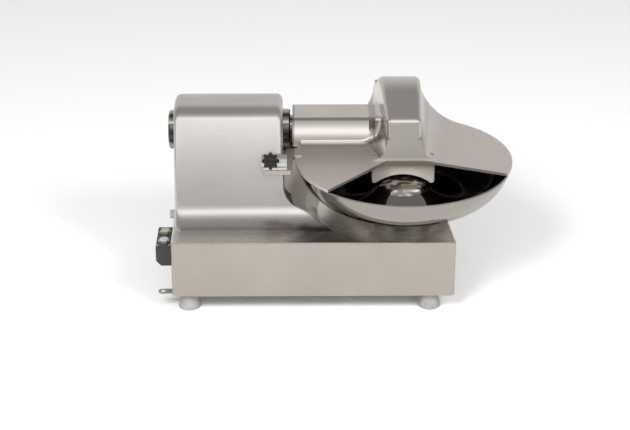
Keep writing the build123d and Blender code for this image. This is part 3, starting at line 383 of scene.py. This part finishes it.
# Plastics, rubber and paint: a fine grain over a slightly uneven colour
coats = {
    "greyRubber": {
        "light": (0.33, 0.32, 0.305), "dark": (0.24, 0.23, 0.22), "rough": (0.45, 0.6),
        "grain": 900, "bump": 0.1,
    },
    "blackRubber": {
        "light": (0.030, 0.030, 0.030), "dark": (0.018, 0.018, 0.018), "rough": (0.5, 0.65),
        "grain": 900, "bump": 0.1,
    },
    "greyPaint": {
        "light": (0.22, 0.24, 0.26), "dark": (0.18, 0.20, 0.22), "rough": (0.35, 0.5),
        "grain": 500, "bump": 0.1,
    },
    "darkPanel": {
        "light": (0.030, 0.031, 0.036), "dark": (0.020, 0.021, 0.024), "rough": (0.3, 0.42),
        "grain": 1200, "bump": 0.08,
    },
    "knobPlastic": {
        "light": (0.010, 0.010, 0.011), "dark": (0.005, 0.005, 0.006), "rough": (0.22, 0.3),
        "grain": 1200, "bump": 0.05, "shine": 0.35,
    },
    "blackPlastic": {
        "light": (0.020, 0.020, 0.021), "dark": (0.011, 0.011, 0.012), "rough": (0.28, 0.4),
        "grain": 1200, "bump": 0.08,
    },
    "greyGland": {
        "light": (0.40, 0.39, 0.37), "dark": (0.32, 0.31, 0.29), "rough": (0.35, 0.5),
        "grain": 900, "bump": 0.08,
    },
    "greenPlastic": {
        "light": (0.27, 0.32, 0.22), "dark": (0.19, 0.25, 0.15), "rough": (0.3, 0.4),
        "grain": 1200, "bump": 0.05,
    },
    "palePlastic": {
        "light": (0.42, 0.37, 0.33), "dark": (0.34, 0.29, 0.26), "rough": (0.3, 0.4),
        "grain": 1200, "bump": 0.05,
    },
}
coatGrain = {"mottle": 40.0, "mottleDetail": 3.0, "detail": 2.0, "depth": 0.0002, "shine": 0.5}


def coat(name):
    look, fine = coats[name], coatGrain
    material, tree, shader = newMaterial(name)
    mottle = noise(tree, objectPoint(tree), fine["mottle"], fine["mottleDetail"])
    grain = noise(tree, objectPoint(tree), look["grain"], fine["detail"])
    tone = blend(tree, spread(tree, mottle, 0, 1), look["dark"], look["light"])
    tree.links.new(tone, shader.inputs["Base Color"])
    tree.links.new(spread(tree, mottle, *look["rough"]), shader.inputs["Roughness"])
    shader.inputs["Specular IOR Level"].default_value = look.get("shine", fine["shine"])
    bumped(tree, shader, grain, look["bump"], fine["depth"])
    return material


# Mirror rings: a painted reflection, dark and light bands of colour by the angle round the knife shaft, as a
# polished ring shows the room
rings = {
    "axle": (0.121, 0.347),     # place of the knife shaft in Y and Z
    "reflectionBands": [                  # degrees above the front, and tone
        (-90, 0.36), (-60, 0.10), (-50, 0.16), (-46, 0.34), (-24, 0.36), (-20, 0.10),
        (6, 0.045), (10, 0.06), (38, 0.16), (41, 0.95), (47, 0.90), (50, 0.45),
        (58, 0.34), (61, 0.08), (72, 0.10), (76, 0.42), (110, 0.50),
    ],
    "warm": (1, 0.95, 0.88),
    "rough": (0.16, 0.26), "lines": (1200, 60, 60),
}


def ringMetal():
    material, tree, shader = newMaterial("ringPaintedReflection")
    x, y, z = places(tree, (0, -rings["axle"][0], -rings["axle"][1]))
    angle = combine(tree, "ARCTAN2", z, combine(tree, "MULTIPLY", y, -1.0))
    turn = spread(tree, angle, 0, 1, -math.pi, math.pi)
    reflectionBands = [((degrees + 180) / 360, tone) for degrees, tone in rings["reflectionBands"]]
    # the ring's colour bands are a painted reflection of the room
    tree.links.new(along(tree, turn, reflectionBands, rings["warm"]), shader.inputs["Base Color"])
    lines = noise(tree, objectPoint(tree, rings["lines"]), 1.0)
    tree.links.new(spread(tree, lines, *rings["rough"]), shader.inputs["Roughness"])
    shader.inputs["Metallic"].default_value = 1.0
    return material


finishes = {name: metal(name) for name in metals}
finishes.update({name: coat(name) for name in coats})
finishes["ringPaintedReflection"] = ringMetal()
print("finishes mixed")

# The finish of each material slot, and of the nodes that differ from their slot
slotFinish = {
    "cast_aluminium": "castAluminium", "lid_aluminium": "lidAluminium", "sheet_steel": "sheetSteel",
    "plated_steel": "platedSteel", "bearing_steel": "bearingSteel", "stainless": "stainless",
    "blade_steel": "bladeSteel", "bronze": "bronze", "cast_iron": "castIron",
    "grey_rubber": "greyRubber", "black_rubber": "blackRubber", "grey_paint": "greyPaint",
    "dark_panel": "darkPanel", "black_plastic": "blackPlastic", "green_plastic": "greenPlastic",
    "pale_plastic": "palePlastic",
}
nodeFinish = {
    "housing": "castAluminium", "attachment_hub": "ringPaintedReflection", "bearing_collar": "ringPaintedReflection",
    "switch_box": "blackPlastic", "button_bezels": "platedSteel", "hold_down_strap": "darkSteel",
    "cable_gland": "greyGland", "latch_block": "barrelMetal", "splash_comb": "combMetal", "bowl": "bowlSteel",
    "hinge_bracket": "hingeMetal", "spindle_carrier": "hingeMetal", "worm_blocks": "hingeMetal",
}


def dressNodes():
    for name, part in nodes.items():
        for place, given in enumerate(part.data.materials):
            finish = nodeFinish.get(name, slotFinish[given.name.split(".")[0]])
            part.data.materials[place] = finishes[finish]


dressNodes()
print("frame dressed")


# Surface helpers: a grid of points in rows and columns becomes a mesh of quads,
# and each end row closes on a point at its middle
def gridFaces(rows, columns):
    row, column = np.meshgrid(np.arange(rows - 1), np.arange(columns), indexing="ij")
    here, above = row * columns, (row + 1) * columns
    after = (column + 1) % columns
    corners = np.stack([here + column, here + after, above + after, above + column], -1)
    return corners.reshape(-1, 4)


def closedPiece(name, points, finish, node, body):
    rows, columns, _ = points.shape
    ends = np.stack([points[0].mean(0), points[-1].mean(0)])
    place = np.concatenate([points.reshape(-1, 3), ends])
    first, last = rows * columns, rows * columns + 1
    around = np.arange(columns)
    after = (around + 1) % columns
    lastRow = (rows - 1) * columns
    low = np.stack([np.full(columns, first), after, around], -1)
    high = np.stack([np.full(columns, last), lastRow + around, lastRow + after], -1)
    mesh = bpy.data.meshes.new(name)
    mesh.from_pydata(place.tolist(), [], gridFaces(rows, columns).tolist() + low.tolist() + high.tolist())
    mesh.polygons.foreach_set("use_smooth", np.ones(len(mesh.polygons), dtype=bool))
    mesh.materials.append(finishes[finish])
    piece = bpy.data.objects.new(name, mesh)
    scene.collection.objects.link(piece)
    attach(piece, body)
    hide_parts(node)
    return piece


# Star knob: rows along its axis. Round each row the radius is the row's size times one less
# the row's depth times a wave, which is half of one less the cosine of lobes times the angle,
# to the power of sharp
knob = {
    "seat": (-0.1555, -0.0920082, 0.358), "lean": 15.6, "lobes": 8, "sharp": 2.0, "sides": 192,
    "rows": [       # height along the axis from the front face, size, depth of the lobes
        (-0.0178, 0.0106, 0.0), (-0.0130, 0.0108, 0.0), (-0.0128, 0.0165, 0.10), (-0.0122, 0.0200, 0.22),
        (-0.0105, 0.0209, 0.25), (-0.0062, 0.0209, 0.25), (-0.0042, 0.0200, 0.24), (-0.0036, 0.0180, 0.20),
        (-0.0034, 0.0128, 0.03), (-0.0008, 0.0118, 0.0), (-0.0002, 0.0112, 0.0), (-0.0006, 0.0104, 0.0),
        (-0.0016, 0.0098, 0.0),
    ],
}


# The knob's front face lies as far along its axis as the solid's furthest point
def knobFront(axis):
    solid = nodes["star_knob"].data
    place = np.empty(len(solid.vertices) * 3)
    solid.vertices.foreach_get("co", place)
    away = place.reshape(-1, 3) - np.array(knob["seat"])
    return float((away @ axis).max())


def buildKnob():
    rows = np.array(knob["rows"])
    turn = np.linspace(0, 2 * np.pi, knob["sides"], endpoint=False)
    wave = (0.5 - 0.5 * np.cos(knob["lobes"] * turn)) ** knob["sharp"]
    radius = rows[:, 1:2] * (1 - rows[:, 2:3] * wave[None, :])
    lean = math.radians(knob["lean"])
    axis = np.array([0, -math.cos(lean), math.sin(lean)])
    up = np.array([0, math.sin(lean), math.cos(lean)])
    side = np.array([1.0, 0, 0])
    centre = np.array(knob["seat"]) + axis * knobFront(axis)
    points = centre + rows[:, 0][:, None, None] * axis
    spokes = np.cos(turn)[None, :, None] * up + np.sin(turn)[None, :, None] * side
    points = points + radius[..., None] * spokes
    return closedPiece("starKnob", points[:, ::-1], "knobPlastic", "star_knob", "lock_knob")


buildKnob()
print("knob built")


# Studio: a pale floor, and a room whose tone depends on the angle round
# from the front wall over the ceiling to the back wall
studio = {
    "floorSize": 24.0, "floorTone": (0.88, 0.88, 0.88), "floorRough": 0.9,
    "roomStrength": 1.12,
    "roomTones": [      # degrees above the front, and tone
        (0, 0.42), (6, 0.50), (14, 0.62), (24, 0.80), (32, 1.55), (44, 1.50), (52, 0.85), (64, 0.50),
        (80, 0.36), (116, 0.34), (150, 0.62), (180, 0.72),
    ],
    "aim": (0, 0, 0.25),
    "boxes": [
        {"place": (-1.5, -2.6, 3.0), "size": (1.4, 1.4), "watts": 120},
        {"place": (1.9, -2.0, 2.6), "size": (1.2, 1.2), "watts": 70},
    ],
}


def buildRoom():
    world = bpy.data.worlds.new("room")
    world.use_nodes = True
    scene.world = world
    tree = world.node_tree
    parts = addNode(tree, "SeparateXYZ", Vector=addNode(tree, "TexCoord").outputs["Generated"])
    ahead = combine(tree, "MULTIPLY", parts.outputs["Y"], -1.0)
    angle = combine(tree, "ARCTAN2", parts.outputs["Z"], ahead)
    tones = [(degrees / 180, tone) for degrees, tone in studio["roomTones"]]
    background = tree.nodes["Background"]
    tree.links.new(along(tree, spread(tree, angle, 0, 1, 0, math.pi), tones), background.inputs["Color"])
    background.inputs["Strength"].default_value = studio["roomStrength"]


def buildLamp(name, box):
    lamp = bpy.data.lights.new(name, "AREA")
    lamp.shape = "RECTANGLE"
    lamp.size, lamp.size_y = box["size"]
    lamp.energy = box["watts"]
    holder = bpy.data.objects.new(lamp.name, lamp)
    holder.location = box["place"]
    holder.rotation_mode = "QUATERNION"
    holder.rotation_quaternion = (Vector(studio["aim"]) - Vector(box["place"])).to_track_quat("-Z", "Y")
    holder.visible_glossy = False       # the room alone gives the shine
    scene.collection.objects.link(holder)


def buildStudio():
    bpy.ops.mesh.primitive_plane_add(size=studio["floorSize"], location=(0, 0, 0))
    floor = bpy.context.object
    floor.name = "studioFloor"
    material, tree, shader = newMaterial("studioFloor")
    shader.inputs["Base Color"].default_value = (*studio["floorTone"], 1)
    shader.inputs["Roughness"].default_value = studio["floorRough"]
    floor.data.materials.append(material)
    for place, box in enumerate(studio["boxes"]):
        buildLamp(f"softBox{place}", box)
    buildRoom()
    scene.view_settings.view_transform = "Standard"


buildStudio()
print("studio built")
